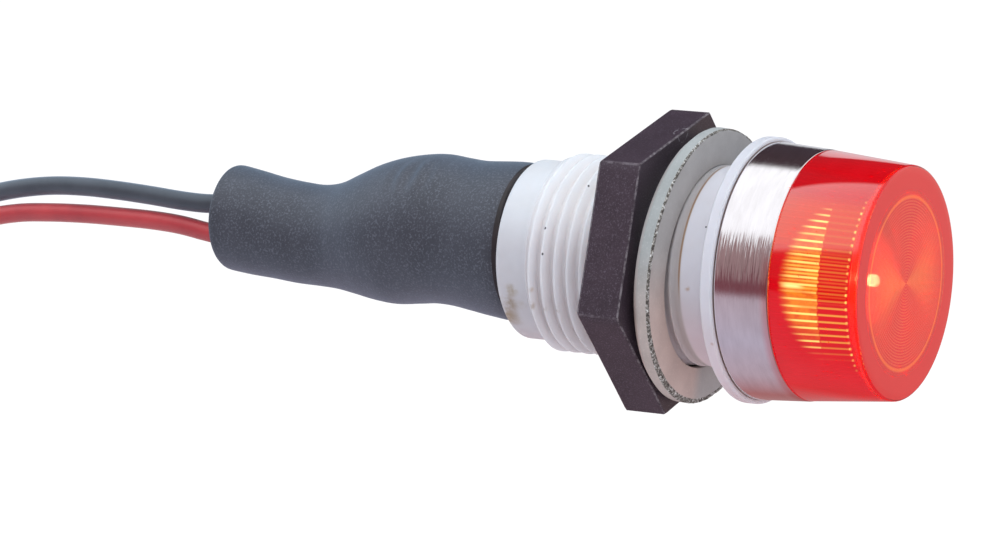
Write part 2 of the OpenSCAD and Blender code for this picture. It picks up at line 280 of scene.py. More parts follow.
class Mat(Nodes):
    """A node material whose Principled shader takes its sockets by name."""

    def __init__(self, name, **sockets):
        self.mat = bpy.data.materials.new(name)
        self.mat.use_nodes = True
        super().__init__(self.mat.node_tree)
        self.shader = self.tree.nodes["Principled BSDF"]
        self.out = self.tree.nodes["Material Output"]
        self.coords = self.new("ShaderNodeTexCoord").outputs["Object"]
        for key, value in sockets.items():
            self.shader.inputs[key.replace("_", " ")].default_value = value

    def times(self, *values):
        """The product of all the values."""
        out = values[0]
        for value in values[1:]:
            out = self.math("MULTIPLY", out, value)
        return out

    def vector(self, op, a, b=None, scale=None):
        n = self.new("ShaderNodeVectorMath", operation=op)
        self.put(n.inputs[0], a)
        if b is not None:
            self.put(n.inputs[1], b)
        if scale is not None:
            self.put(n.inputs["Scale"], scale)
        return n.outputs["Value" if op == "DISTANCE" else "Vector"]

    def stretched(self, x, y, z):
        """The object's coordinates, scaled along each axis."""
        n = self.new("ShaderNodeMapping")
        self.link(self.coords, n.inputs["Vector"])
        n.inputs["Scale"].default_value = (x, y, z)
        return n.outputs[0]

    def noise(self, scale, detail=3.0, rough=0.55, vector=None):
        n = self.new("ShaderNodeTexNoise")
        self.link(vector or self.coords, n.inputs["Vector"])
        n.inputs["Scale"].default_value = scale
        n.inputs["Detail"].default_value = detail
        n.inputs["Roughness"].default_value = rough
        return n.outputs["Fac"]

    def mix(self, fac, a, b, blend="MIX"):
        n = self.new("ShaderNodeMix", data_type="RGBA", blend_type=blend)
        self.put(n.inputs["Factor"], fac)
        self.put_color(n.inputs[6], a)
        self.put_color(n.inputs[7], b)
        return n.outputs[2]

    def apart(self, value, centre):
        """How far a value is from its centre."""
        return self.math("ABSOLUTE", self.math("SUBTRACT", value, centre))

    def xyz(self):
        """The object's coordinates, one by one, in metres."""
        split = self.new("ShaderNodeSeparateXYZ")
        self.link(self.coords, split.inputs[0])
        return split.outputs

    def step(self, value, low, high):
        """0 at low, 1 at high, smooth between them (either way round)."""
        n = self.new("ShaderNodeMapRange", interpolation_type="SMOOTHSTEP")
        self.link(value, n.inputs["Value"])
        n.inputs["From Min"].default_value = low
        n.inputs["From Max"].default_value = high
        return n.outputs["Result"]

    def band(self, value, low, high, soft):
        """1 between low and high, fading out over soft on either side."""
        return self.times(
            self.step(value, low - soft, low + soft), self.step(value, high + soft, high - soft)
        )

    def place(self):
        """Radius from the axis in mm, s in mm, and the angle from the top in degrees."""
        x, y, z = self.xyz()
        square = self.math("ADD", self.times(x, x), self.times(z, z))
        r = self.math("MULTIPLY", self.math("SQRT", square), 1 / MM)
        angle = self.math("ARCTAN2", self.math("MULTIPLY", x, -1.0), z)
        return r, self.math("MULTIPLY", y, -1 / MM), self.math("MULTIPLY", angle, 180 / PI)

    def sway(self, reach, *args, **more):
        """A noise that swings about zero, half of reach either way."""
        return self.times(self.math("SUBTRACT", self.noise(*args, **more), 0.5), reach)

    def near(self, spot, r_in, r_out):
        """1 within r_in of a spot (mm), 0 beyond r_out."""
        gap = self.vector("DISTANCE", self.coords, [c * MM for c in spot])
        return self.step(gap, r_out * MM, r_in * MM)

    def cloud(self, scale, low, high, detail=3.0):
        """A noise between two colours or two greys."""
        return self.ramp(self.noise(scale, detail), [(0.3, low), (0.7, high)])

    def tone(self, scale, low, high, detail=4.0):
        """A noise between two colours, set as the base colour."""
        col = self.cloud(scale, low, high, detail)
        self.color(col)
        return col

    def color(self, value):
        self.put(self.shader.inputs["Base Color"], value)

    def glow(self, value):
        self.put(self.shader.inputs["Emission Color"], value)

    def rough(self, value):
        self.put(self.shader.inputs["Roughness"], value)

    def bump(self, height, distance, strength=1.0, normal=None):
        """Bump from a height; its full distance is in mm."""
        n = self.new("ShaderNodeBump")
        self.link(height, n.inputs["Height"])
        n.inputs["Distance"].default_value = distance * MM
        n.inputs["Strength"].default_value = strength
        if normal is not None:
            self.link(normal, n.inputs["Normal"])
        self.link(n.outputs["Normal"], self.shader.inputs["Normal"])


def dress(obj, *mats, pick=None):
    """Gives an object its materials; pick says which one a polygon takes."""
    obj.data.materials.clear()
    for m in mats:
        obj.data.materials.append(m.mat)
    if pick:
        for poly in obj.data.polygons:
            poly.material_index = pick(poly)


def stand_for(piece, node, body):
    """The piece takes a CAD node's place and moves with its body."""
    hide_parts(node)
    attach(piece, body)


# ---- camera

scene = bpy.context.scene
scene.cycles.max_bounces = 24
scene.cycles.transmission_bounces = 24
scene.cycles.sample_clamp_indirect = 0

CAM_AZIMUTH = math.radians(-60.65)
CAM_ELEVATION = math.radians(9.93)
CAM_TARGET = (0, 20.49, -1.60)
CAM_DISTANCE = 330
FOCAL_LENGTH = 167.5
SENSOR_WIDTH = 36


def make_camera():
    """A camera on the lamp's -X side, in front of it and a little above."""
    across = math.cos(CAM_ELEVATION)
    x = math.sin(CAM_AZIMUTH) * across
    y = -math.cos(CAM_AZIMUTH) * across
    back = Vector((x, y, math.sin(CAM_ELEVATION)))
    data = bpy.data.cameras.new("camera")
    data.sensor_width = SENSOR_WIDTH
    data.lens = FOCAL_LENGTH
    data.clip_start = 0.01
    data.clip_end = 20
    cam = bpy.data.objects.new("camera", data)
    scene.collection.objects.link(cam)
    cam.location = Vector(CAM_TARGET) * MM + back * (CAM_DISTANCE * MM)
    cam.rotation_mode = "QUATERNION"
    cam.rotation_quaternion = (-back).to_track_quat("-Z", "Y")
    return cam


scene.camera = make_camera()

# ---- leads

BLACK_ROUTE = [
    (0, 25, 1.27), (0, 30, 1.27), (0, 34, 1.27), (0, 38, 1.27), (0, 41, 1.27),
    (0, 43, 1.22), (0, 45.2, 1.05), (0, 47.5, 1.1), (0, 50, 1.27), (0, 53, 1.42),
    (0, 56, 1.47), (0.1, 59, 1.3), (0.1, 62, 0.85), (0.2, 65, 0.1), (0.3, 67.8, -1),
    (0.4, 70.3, -2.6), (0.5, 72.4, -4.8), (0.6, 74, -7.6), (0.7, 75.1, -10.8),
    (0.8, 75.7, -14.3), (0.9, 76, -18), (1, 76.1, -22), (1.1, 76.2, -26),
    (1.2, 76.2, -30), (1.3, 76.1, -34), (1.4, 76, -38), (1.4, 75.9, -42),
    (1.3, 75.9, -46), (1.2, 75.9, -50), (1.1, 76, -54), (1, 76.1, -58),
    (1, 76.2, -62), (1, 76.2, -66), (1, 76.2, -70), (1, 76.2, -73),
]
RED_ROUTE = [
    (0, 39.5, -1.27), (0, 43.2, -1.27), (0, 45.2, -1.05), (0, 47.5, -0.72),
    (0, 50, -0.57), (0, 53, -0.55), (0, 56, -0.58), (-0.1, 59, -0.7),
    (-0.1, 62, -0.98), (-0.2, 64.8, -1.6), (-0.3, 67.2, -2.7), (-0.4, 69.3, -4.3),
    (-0.5, 71, -6.5), (-0.6, 72.2, -9.3), (-0.7, 72.9, -12.6), (-0.8, 73.2, -16),
    (-0.9, 73.3, -20), (-1, 73.3, -24), (-1.2, 73.2, -28), (-1.3, 73.2, -32),
    (-1.4, 73.1, -36), (-1.4, 73.1, -40), (-1.4, 73.2, -44), (-1.3, 73.3, -48),
    (-1.2, 73.4, -52), (-1.1, 73.4, -56), (-1, 73.4, -60), (-1, 73.3, -64),
    (-1, 73.3, -68), (-1, 73.3, -71),
]
BLACK_HEIGHT = BLACK_ROUTE[5][2]
RED_HEIGHT = RED_ROUTE[1][2]


def insulation(name, low, high, tint, sheen, rough):
    """Satin vinyl, its sheen and highlights tinted."""
    m = Mat(
        name,
        Roughness=rough,
        Specular_IOR_Level=0.8,
        Specular_Tint=(*tint, 1),
        Sheen_Weight=sheen,
        Sheen_Roughness=0.5,
        Sheen_Tint=(*tint, 1),
    )
    m.tone(420, low, high)
    m.bump(m.noise(2600, 2, vector=m.stretched(1, 0.35, 1)), 0.012, 0.35)
    return m


def tinned_material():
    """Tinned copper, unevenly bright."""
    m = Mat("tinned_copper", Metallic=1.0)
    m.tone(2400, (0.56, 0.54, 0.5), (0.78, 0.77, 0.74))
    m.rough(m.cloud(900, 0.22, 0.4))
    m.bump(m.noise(5200), 0.01, 0.4)
    return m


RED = ((0.42, 0.018, 0.03), (0.53, 0.03, 0.04))
BLACK = ((0.018, 0.017, 0.021), (0.04, 0.04, 0.048))
red_vinyl = insulation("red_vinyl", *RED, (1.0, 0.9, 0.85), 0.6, 0.36)
black_vinyl = insulation("black_vinyl", *BLACK, (0.72, 0.87, 1.0), 1.0, 0.48)
tinned = tinned_material()

# the bare ends: seven strands, six of them laid round the last
STRANDS = 7
STRAND_R = 0.1
STRAND_LAY_R = 0.19
STRAND_TWIST = 1.5


def strands(name, end):
    """Six strands laid round a seventh, straight down from end."""
    points = []
    faces = []
    sides = 10
    steps = 16
    for n in range(STRANDS):
        out = STRAND_LAY_R if n < STRANDS - 1 else 0
        line = []
        for i in range(steps + 1):
            a = n * PI / 3 + STRAND_TWIST * i / steps
            down = -BARE_LEN * i / steps
            line.append(np.array(end) + [out * math.cos(a), out * math.sin(a), down])
        rings = tube_rings(line, STRAND_R, sides)
        start = len(points)
        for i in range(steps):
            faces += bridge(start + i * sides, sides, start + (i + 1) * sides, sides)
        faces.append(tuple(start + k for k in range(sides))[::-1])
        faces.append(tuple(start + steps * sides + k for k in range(sides)))
        points += [p for ring in rings for p in ring]
    return mesh_object(name, points, faces, auto_angle=50)


for name, route, height, vinyl in (
    ("red", RED_ROUTE, RED_HEIGHT, red_vinyl),
    ("black", BLACK_ROUTE, BLACK_HEIGHT, black_vinyl),
):
    line = smooth_route(route)
    lead = loft(
        name + "_lead_insulation",
        tube_rings(line, LEAD_R, 28),
        tips=[tuple(line[0]), tuple(line[-1])],
        auto_angle=50,
    )
    dress(lead, vinyl)
    bare = strands(name + "_lead_strands", route[-1])
    dress(bare, tinned)
    stand_for(lead, name + "_lead", "lamp")
    stand_for(bare, name + "_bare_end", "lamp")

# ---- body

STAINS = [
    # where, how wide (mm), colour
    ((-5.6, 16.7, -2.9), 1.1, (0.30, 0.21, 0.11)),
    ((-4.9, 17.1, -4.0), 1.4, (0.34, 0.25, 0.15)),
    ((-6.0, 16.2, -1.9), 0.7, (0.38, 0.30, 0.18)),
    ((-5.9, 15.6, -3.2), 0.7, (0.40, 0.32, 0.20)),
    ((-6.41, 14.5, -2.8), 0.5, (0.28, 0.18, 0.10)),
    ((-6.42, 13.5, -2.8), 0.45, (0.30, 0.20, 0.11)),
    ((-6.36, 12.6, -2.9), 0.5, (0.30, 0.21, 0.12)),
    ((-6.6, 14.4, -1.6), 0.35, (0.45, 0.30, 0.18)),
    ((-6.99, 2.04, -0.36), 0.3, (0.45, 0.25, 0.12)),
]
SPECKS = [
    # where, how wide (mm)
    ((-6.24, 13.75, 3.18), 0.16), ((-6.44, 13.32, 2.75), 0.12),
    ((-6.67, 13.59, 2.14), 0.16), ((-6.93, 13.21, 1.02), 0.14),
    ((-6.9, 12.75, 0.7), 0.12), ((-5.0, 12.9, 4.7), 0.08),
    ((-4.22, 11.08, 5.58), 0.14), ((-7.0, 12.54, -0.1), 0.1),
    ((-5.92, 1.18, 3.74), 0.09), ((-6.6, 13.1, -2.1), 0.08),
]


def body_material():
    """Milky nylon with stains and specks; painted shade greys its front, its grooves, the rear's sides
    and the thread by the washer, and painted warm light tints it below.
    """
    m = Mat(
        "milky_nylon",
        Roughness=0.42,
        Subsurface_Weight=0.9,
        Subsurface_Radius=(1.0, 0.9, 0.85),
        Subsurface_Scale=1.4 * MM,
    )
    r, s, t = m.place()
    off_top = m.math("ABSOLUTE", t)
    cloud = m.cloud(260, (0.80, 0.79, 0.79), (0.88, 0.88, 0.89), 4)
    # painted shade darkens and warms the thread's grooves
    grooved = m.times(m.step(r, THREAD_R - 0.05, THREAD_R - 0.5), m.band(s, THREAD_BACK, -COLLAR, 0.1))
    cloud = m.mix(m.times(grooved, 0.35), cloud, (0.74, 0.68, 0.65))
    # the plain back end is a little bluer, and painted shade darkens the rear's sides and underside
    cloud = m.mix(m.step(s, -14.7, -15.3), cloud, (0.87, 0.88, 0.89), "MULTIPLY")
    beside = m.times(m.step(s, -6.0, -9.0), m.step(off_top, 45, 85))
    cloud = m.mix(beside, cloud, (0.84, 0.82, 0.83), "MULTIPLY")
    # painted shade greys the front, and painted warm light from below warms its lower side
    front = m.times(m.step(s, -6.0, -3.5), m.step(s, FLANGE_T + 0.06, FLANGE_T + 0.03))
    cloud = m.mix(front, cloud, (0.80, 0.785, 0.82), "MULTIPLY")
    warm_light_below = m.times(front, m.step(off_top, 90, 130))
    cloud = m.mix(warm_light_below, cloud, (1.08, 0.93, 0.92), "MULTIPLY")
    # painted shade on the thread in front of the washer, a painted contact shadow across the top at
    # the collar's end, and a dark brown joint beside the ring
    washer_shade = m.times(m.step(s, -2.45, -2.75), m.step(s, -5.0, -3.0))
    cloud = m.mix(m.times(washer_shade, 0.7), cloud, (0.44, 0.39, 0.36))
    line = m.times(m.band(s, -2.75, -2.6, 0.05), m.band(t, 0, 95, 12))
    cloud = m.mix(m.times(line, 0.85), cloud, (0.33, 0.17, 0.07))
    seam = m.times(m.step(s, FLANGE_T - 0.02, FLANGE_T - 0.01), m.step(r, BEZEL_R + 0.04, BEZEL_R))
    cloud = m.mix(m.times(seam, 0.8), cloud, (0.30, 0.19, 0.15))
    blotch = m.times(m.step(m.noise(950, 3, 0.6), 0.38, 0.68), 0.8)
    for spot, width, col in STAINS:
        cloud = m.mix(m.times(m.near(spot, 0.15 * width, width), blotch), cloud, col)
    for spot, width in SPECKS:
        cloud = m.mix(m.near(spot, 0.5 * width, width), cloud, (0.03, 0.025, 0.03))
    nick = m.near((-8.41, -0.6, -3.74), 0.03, 0.18)
    cloud = m.mix(m.times(nick, 0.5), cloud, (0.45, 0.25, 0.2))
    m.color(cloud)
    m.bump(m.noise(1500, 4), 0.02, 0.35)
    return m


GROOVE = 0.6
GROOVE_FADE = 2.4  # the length over which the groove reaches its depth
THREAD_CHAMFER = 0.3
THREAD_STEPS = 200


def body_mesh():
    """The turned body with a true helical thread."""
    edge = 0.1
    front = [
        (FLANGE_R - edge, FLANGE_T), (FLANGE_R, FLANGE_T - edge), (FLANGE_R, edge),
        (FLANGE_R - edge, 0.0), (THREAD_R + 0.12, 0.0), (THREAD_R, -0.12),
        (THREAD_R, -0.8), (THREAD_R, -1.7),
    ]
    start = -COLLAR + 0.1
    run = (THREAD_BACK - start) / THREAD_STEPS
    thread = [(THREAD_R, start + run * i) for i in range(THREAD_STEPS + 1)]
    rear = [
        (THREAD_R - 0.55, THREAD_BACK - 0.01), (RELIEF_R, THREAD_BACK - 0.03),
        (RELIEF_R, RELIEF_BACK + 0.08), (RELIEF_R - 0.08, RELIEF_BACK), (TAIL_R, RELIEF_BACK),
        (TAIL_R, TAIL_BACK), (TAIL_BORE, TAIL_BACK), (TAIL_BORE, RELIEF_BACK),
        (WIRE_BORE, RELIEF_BACK + 0.85), (WIRE_BORE, LAMP_BORE_BACK), (LAMP_BORE, LAMP_BORE_BACK),
        (LAMP_BORE, NOSE_FRONT - 0.8), (NOSE_R - 0.8, NOSE_FRONT), (NOSE_R, NOSE_FRONT),
        (NOSE_R, FLANGE_T),
    ]
    sides = 144
    rings = [circle(r, s, sides) for r, s in front]
    for r, s in thread:
        fade_in = min(1.0, max(0.0, (-s - COLLAR) / GROOVE_FADE))
        chamfer = max(0.0, THREAD_CHAMFER - (s - THREAD_BACK))

        def radius(t, s=s, fade_in=fade_in, chamfer=chamfer):
            phase = (-s - COLLAR + 0.5 * PITCH) / PITCH - t / (2 * PI)
            flat = abs(phase % 1.0 - 0.5) * 2
            cut = min(1.0, max(0.0, (0.875 - flat) / 0.6))
            return min(THREAD_R - GROOVE * fade_in * cut, THREAD_R - chamfer)

        rings.append(circle(radius, s, sides))
    rings += [circle(r, s, sides) for r, s in rear]
    return loft("body_moulding", rings, closed=True, auto_angle=38)


body = body_mesh()
dress(body, body_material())
stand_for(body, "body", "lamp")

# ---- bezel ring


def chrome_material():
    """Bright plating with fine turned lines round it, dull where it is scuffed, and a painted red
    reflection of the lens low down on its front.
    """
    m = Mat("plated_ring", Metallic=1.0)
    _, s, t = m.place()
    fine = m.noise(1.0, 4, 0.6, vector=m.stretched(420, 14000, 420))
    broad = m.noise(1.0, 3, vector=m.stretched(500, 1500, 500))
    scuffed = m.times(m.step(t, 60, 68), m.step(t, 88, 80))
    streak = m.ramp(fine, [(0.30, 0.35), (0.48, 0.8), (0.7, 1.0)])
    tone = m.ramp(broad, [(0.3, (0.80, 0.785, 0.80)), (0.7, (0.90, 0.89, 0.91))])
    tone = m.mix(m.math("ADD", m.times(scuffed, 0.55), 0.08), tone, streak, "MULTIPLY")
    dirt = m.step(s, BEZEL_BACK + 0.05, BEZEL_BACK + 0.02)
    tone = m.mix(m.times(dirt, 0.7), tone, (0.35, 0.2, 0.15))
    # painted red reflection of the lens, on the front of the ring low on its -X side
    lens_red_reflection = m.times(m.step(s, BEZEL_FRONT - 0.75, BEZEL_FRONT - 0.1), m.step(t, 70, 78))
    tone = m.mix(lens_red_reflection, tone, (1.0, 0.62, 0.62), "MULTIPLY")
    m.color(tone)
    worn = m.noise(1.0, 3, vector=m.stretched(500, 5200, 500))
    m.rough(m.ramp(worn, [(0.3, 0.08), (0.75, 0.17)]))
    # the turned lines tip the surface a little round the axis, most where it is scuffed
    tilt = m.math("SUBTRACT", m.noise(1.0, 3, 0.7, vector=m.stretched(380, 15000, 380)), 0.5)
    reach = m.math("ADD", m.times(scuffed, 0.75), 0.03)
    round_it = m.new("ShaderNodeTangent", direction_type="RADIAL", axis="Y").outputs[0]
    flat = m.new("ShaderNodeNewGeometry").outputs["Normal"]
    tipped = m.vector("ADD", flat, m.vector("SCALE", round_it, scale=m.times(tilt, reach)))
    m.bump(fine, 0.012, 0.4, normal=m.vector("NORMALIZE", tipped))
    return m


bezel = turned(
    "plated_bezel",
    [
        (BEZEL_BORE, BEZEL_BACK), (BEZEL_R - 0.04, BEZEL_BACK), (BEZEL_R - 0.01, BEZEL_BACK + 0.03),
        (BEZEL_R, BEZEL_BACK + 0.1), (BEZEL_R - 0.02, BEZEL_BACK + 0.3),
        (BEZEL_FRONT_R + 0.005, BEZEL_FRONT - 0.14), (BEZEL_FRONT_R - 0.015, BEZEL_FRONT - 0.06),
        (BEZEL_FRONT_R - 0.055, BEZEL_FRONT - 0.015), (BEZEL_FRONT_R - 0.13, BEZEL_FRONT),
        (BEZEL_BORE, BEZEL_FRONT),
    ],
    256,
)
dress(bezel, chrome_material())
stand_for(bezel, "bezel_ring", "lamp")

# ---- lens

FLUTES = 96
FLUTE_A = 0.13  # half the depth of a flute
FLUTE_END = 9.95
LIT_FRONT = 7.95  # where the brightly lit stretch of the flutes ends
FACE_INSIDE = FACE - FACE_T
FACE_EDGE = 0.2
RIM_R = 6.35
RING_PITCH = 0.2
FINE_RINGS_R = 5.75
WIDE_RING_R = 5.9
WALL_SIDES = FLUTES * 16
SKIN_SIDES = 384
RING_SIDES = 192

CLEAR_RED = ((0.78, 0.033, 0.045), (0.82, 0.042, 0.055))
FACE_RED = ((0.50, 0.008, 0.012), (0.54, 0.012, 0.016))
# what glows on the face, from its ground to its brightest
FACE_GLOW = ((0.26, 0.0, 0.002), (0.30, 0.004, 0.005))
FAN = (0.42, 0.09, 0.01)
WIDE_RING = (0.50, 0.15, 0.012)
FINE_RING = (0.50, 0.16, 0.035)
# what glows on the fluted wall, from its ground to its brightest
WALL_GLOW = ((0.52, 0.0, 0.02), (0.60, 0.01, 0.04))
WARM = (0.66, 0.2, 0.0)
ORANGE = (0.85, 1.35, 0.08)
DIM_BETWEEN = (0.9, 1.6, 0.2)
DIM_LINE = (0.9, 2.6, 0.3)
GOLD_BETWEEN = (1.1, 3.0, 0.4)
BEAD = (1.2, 3.8, 0.7)
GOLD_LINE = (1.3, 5.0, 1.1)
HOT_PATCH = (1.3, 5.4, 1.6)


def acrylic(name, base, glow, **sockets):
    """Red acrylic; the glow stands for the light scattered inside it."""
    m = Mat(
        name,
        Roughness=0.03,
        IOR=1.49,
        Coat_Roughness=0.03,
        Emission_Color=(*glow, 1),
        Emission_Strength=1.0,
        **sockets,
    )
    m.tone(200, *base, detail=2)
    return m


def lens_material():
    """The lens's smooth side, with a brighter polish beside its top."""
    glow = (0.05, 0.0005, 0.001)
    m = acrylic("red_acrylic", CLEAR_RED, glow, Transmission_Weight=1.0, Coat_IOR=1.7)
    _, s, t = m.place()
    beside_top = m.band(m.math("ABSOLUTE", t), 25, 70, 3)
    behind_edge = m.step(s, FACE - FACE_EDGE, FACE - FACE_EDGE - 0.05)
    m.link(m.times(beside_top, behind_edge), m.shader.inputs["Coat Weight"])
    return m


def face_acrylic(name, clear):
    """The polished face; where it isn't clear it glows an even red."""
    glow = (0.36, 0.001, 0.004)
    return acrylic(
        name, FACE_RED, glow, Transmission_Weight=clear, Coat_Weight=1.0, Coat_IOR=1.6
    )


def face_material():
    """The middle of the face, partly clear, with lit rings and fans of light."""
    m = face_acrylic("lens_face", 0.28)
    r, _, t = m.place()
    off_side = m.apart(m.math("ABSOLUTE", t), 88)
    fan = m.times(m.step(off_side, 50, 5), m.step(r, 6.3, 2.0))
    wave = m.math("COSINE", m.math("MULTIPLY", r, 2 * PI / RING_PITCH))
    fine = m.times(m.step(wave, -0.6, 0.9), m.step(r, FINE_RINGS_R + 0.2, FINE_RINGS_R - 0.1))
    fine = m.times(fine, m.math("ADD", m.times(fan, 0.45), 0.3))
    wide = m.band(r, WIDE_RING_R - 0.1, WIDE_RING_R + 0.1, 0.1)
    glow = m.cloud(500, *FACE_GLOW)
    glow = m.mix(m.times(fan, 0.8), glow, FAN)
    glow = m.mix(fine, glow, FINE_RING)
    m.glow(m.mix(m.times(wide, 0.8), glow, WIDE_RING))
    # a fine upright mark low on the face
    x, _, z = m.xyz()
    across = m.band(x, 1.27 * MM, 1.31 * MM, 0.02 * MM)
    mark = m.times(across, m.step(z, -1.8 * MM, -2.2 * MM), 0.7)
    red = m.cloud(200, *FACE_RED, 2)
    m.color(m.mix(mark, red, (0.2, 0.003, 0.004)))
    return m


def lit_wall_material():
    """The fluted wall: gold lines and an orange glow where the lamp lights it."""
    m = Mat("lit_flutes", Roughness=0.5, Emission_Strength=1.0)
    m.tone(260, (0.26, 0.004, 0.006), (0.32, 0.006, 0.008), detail=3)
    _, s, t = m.place()
    off_top = m.math("ABSOLUTE", t)
    wave = m.math("COSINE", m.math("MULTIPLY", t, FLUTES * PI / 180))
    between = m.times(m.step(wave, 0.5, 0.95), m.band(off_top, 68, 92, 6))
    uneven = m.step(m.noise(1.0, 3, 0.6, vector=m.stretched(1100, 120, 1100)), 0.3, 0.6)
    # lit from a curved back edge to a sharp front one
    from_side = m.math("SUBTRACT", off_top, 84)
    back_s = m.math("ADD", m.math("DIVIDE", m.times(from_side, from_side), 900), 5.25)
    past_back = m.step(m.math("SUBTRACT", s, back_s), -0.1, 0.9)
    front_s = m.math("ADD", s, m.sway(0.2, 2500, 3))
    lit = m.times(past_back, m.step(front_s, LIT_FRONT + 0.04, LIT_FRONT - 0.04))
    ahead = m.times(m.step(s, LIT_FRONT, LIT_FRONT + 0.1), m.step(s, FLUTE_END, FLUTE_END - 0.1))
    # a red ground, warm towards the top and mottled orange beside the lamp
    glow = m.cloud(400, *WALL_GLOW)
    glow = m.mix(m.band(off_top, 38, 66, 6), glow, WARM)
    orange = m.times(lit, m.step(off_top, 40, 74), m.step(off_top, 122, 96))
    mottled = m.math("ADD", m.times(m.step(m.noise(1500, 4), 0.35, 0.65), 0.5), 0.45)
    glow = m.mix(m.times(orange, mottled), glow, ORANGE)
    # a gold line for each flute, light between them, and a hot patch by the lamp's tip
    thin = m.times(m.step(wave, -0.35, -0.9), m.step(off_top, 37, 52), m.step(off_top, 128, 110))
    patchy = m.math("ADD", m.times(uneven, 0.8), 0.2)
    glow = m.mix(m.times(thin, lit, patchy), glow, GOLD_LINE)
    glow = m.mix(m.times(between, lit, uneven), glow, GOLD_BETWEEN)
    hot = m.times(m.band(off_top, 84.5, 86.5, 1.0), m.band(s, 5.6, 6.8, 0.4))
    glow = m.mix(hot, glow, HOT_PATCH)
    # the lines go on dimly ahead, and end in a row of beads
    low_down = m.times(m.step(off_top, 90, 98), 0.4)
    dim = m.math("ADD", m.times(m.step(off_top, 58, 72), 0.18), low_down)
    dim = m.math("ADD", dim, 0.12)
    glow = m.mix(m.times(ahead, thin, dim), glow, DIM_LINE)
    glow = m.mix(m.times(ahead, between, 0.3), glow, DIM_BETWEEN)
    beads = m.times(m.band(s, FLUTE_END - 0.06, FLUTE_END + 0.06, 0.03), m.step(wave, 0.0, -0.7))
    beads = m.times(beads, m.step(off_top, 30, 42), m.step(off_top, 138, 118))
    beads = m.times(beads, m.math("ADD", m.times(m.step(m.noise(1900, 2), 0.4, 0.6), 0.6), 0.4))
    m.glow(m.mix(beads, glow, BEAD))
    return m


def fluted(centre, depth):
    """The radius of a wall whose flutes swing by depth about its centre."""
    return lambda t: centre - depth * math.cos(FLUTES * t)


def lens_mesh():
    """A cup: smooth outside, with rounded flutes and fine rings inside."""
    e = FACE_EDGE
    rings = [circle(r, FACE, RING_SIDES) for r in (2, 4, RIM_R, 7.4)]
    for a in np.radians(range(0, 91, 18)):
        r = LENS_FRONT_R - e + e * math.sin(a)
        rings.append(circle(r, FACE - e + e * math.cos(a), SKIN_SIDES))
    skin = [
        (LENS_R, LENS_BACK + 0.06), (LENS_R - 0.05, LENS_BACK), (SKIRT_R, LENS_BACK),
        (SKIRT_R, BEZEL_BACK), (SKIRT_BORE, BEZEL_BACK), (SKIRT_BORE, NOSE_FRONT + FIT_GAP),
    ]
    rings += [circle(r, s, SKIN_SIDES) for r, s in skin]
    wall = [
        (7.2, 4.32, FLUTE_A), (6.95, FLUTE_END, FLUTE_A), (6.94, FLUTE_END + 0.08, 0),
        (6.90, FACE_INSIDE - 0.02, 0), (6.86, FACE_INSIDE, 0),
    ]
    rings += [circle(fluted(r, depth), s, WALL_SIDES) for r, s, depth in wall]
    rings.append(circle(6.6, FACE_INSIDE, WALL_SIDES))
    rings.append(circle(6.3, FACE_INSIDE, RING_SIDES))
    # one wide ring, then the fine ones
    for k in range(9):
        r = WIDE_RING_R + 0.12 - 0.24 * k / 8
        rings.append(circle(r, FACE_INSIDE - 0.1 * math.sin(PI * k / 8), RING_SIDES))
    depth = 0.07
    per = 6
    for k in range(int(FINE_RINGS_R / RING_PITCH * per) - 2):
        r = FINE_RINGS_R - RING_PITCH * k / per
        drop = depth / 2 * (1 - math.cos(2 * PI * k / per))
        rings.append(circle(r, FACE_INSIDE - drop, RING_SIDES))
    tips = [(0, -FACE, 0), (0, -FACE_INSIDE, 0)]
    return loft("lens_moulding", rings, tips=tips, auto_angle=50)


def lens_part(poly):
    """0 for the side, skirt and inside of the face, 1 fluted wall, 2 face, 3 its rim."""
    x, y, z = (c / MM for c in poly.center)
    r, s = math.hypot(x, z), -y
    if s > FACE - 0.01:
        return 3 if r > RIM_R else 2
    if r > SKIRT_BORE - 0.01 or s > FACE_INSIDE - 0.15 and r < 6.8:
        return 0
    return 1


lens = lens_mesh()
rim = face_acrylic("lens_rim", 0.0)
dress(lens, lens_material(), lit_wall_material(), face_material(), rim, pick=lens_part)
stand_for(lens, "lens", "lamp")

# ---- lamp


def resin_material():
    """Clear resin that glows, most round the light source inside it."""
    m = Mat("lit_resin", Roughness=0.15, Emission_Strength=1.8)
    _, s, _ = m.place()
    m.tone(300, (0.95, 0.55, 0.35), (1.0, 0.65, 0.45), detail=2)
    glow = [
        (0.0, (0.9, 0.2, 0.03)), (0.6, (1.0, 0.35, 0.08)), (0.75, (0.35, 0.09, 0.02)),
        (1.0, (0.2, 0.05, 0.01)),
    ]
    m.glow(m.ramp(m.math("MULTIPLY", s, 0.12), glow))
    clear = m.new("ShaderNodeBsdfTransparent")
    both = m.mix_shader(0.6, m.shader.outputs[0], clear.outputs[0])
    m.link(both, m.out.inputs["Surface"])
    return m


def source_material():
    """The bright source, lit only near its front."""
    m = Mat("light_source", Roughness=0.5, Emission_Strength=500.0)
    m.tone(900, (0.9, 0.5, 0.3), (1.0, 0.6, 0.4))
    _, s, _ = m.place()
    m.glow(m.ramp(m.step(s, 3.4, 3.6), [(0.0, (0.12, 0.05, 0.01)), (1.0, (1.0, 0.85, 0.25))]))
    return m


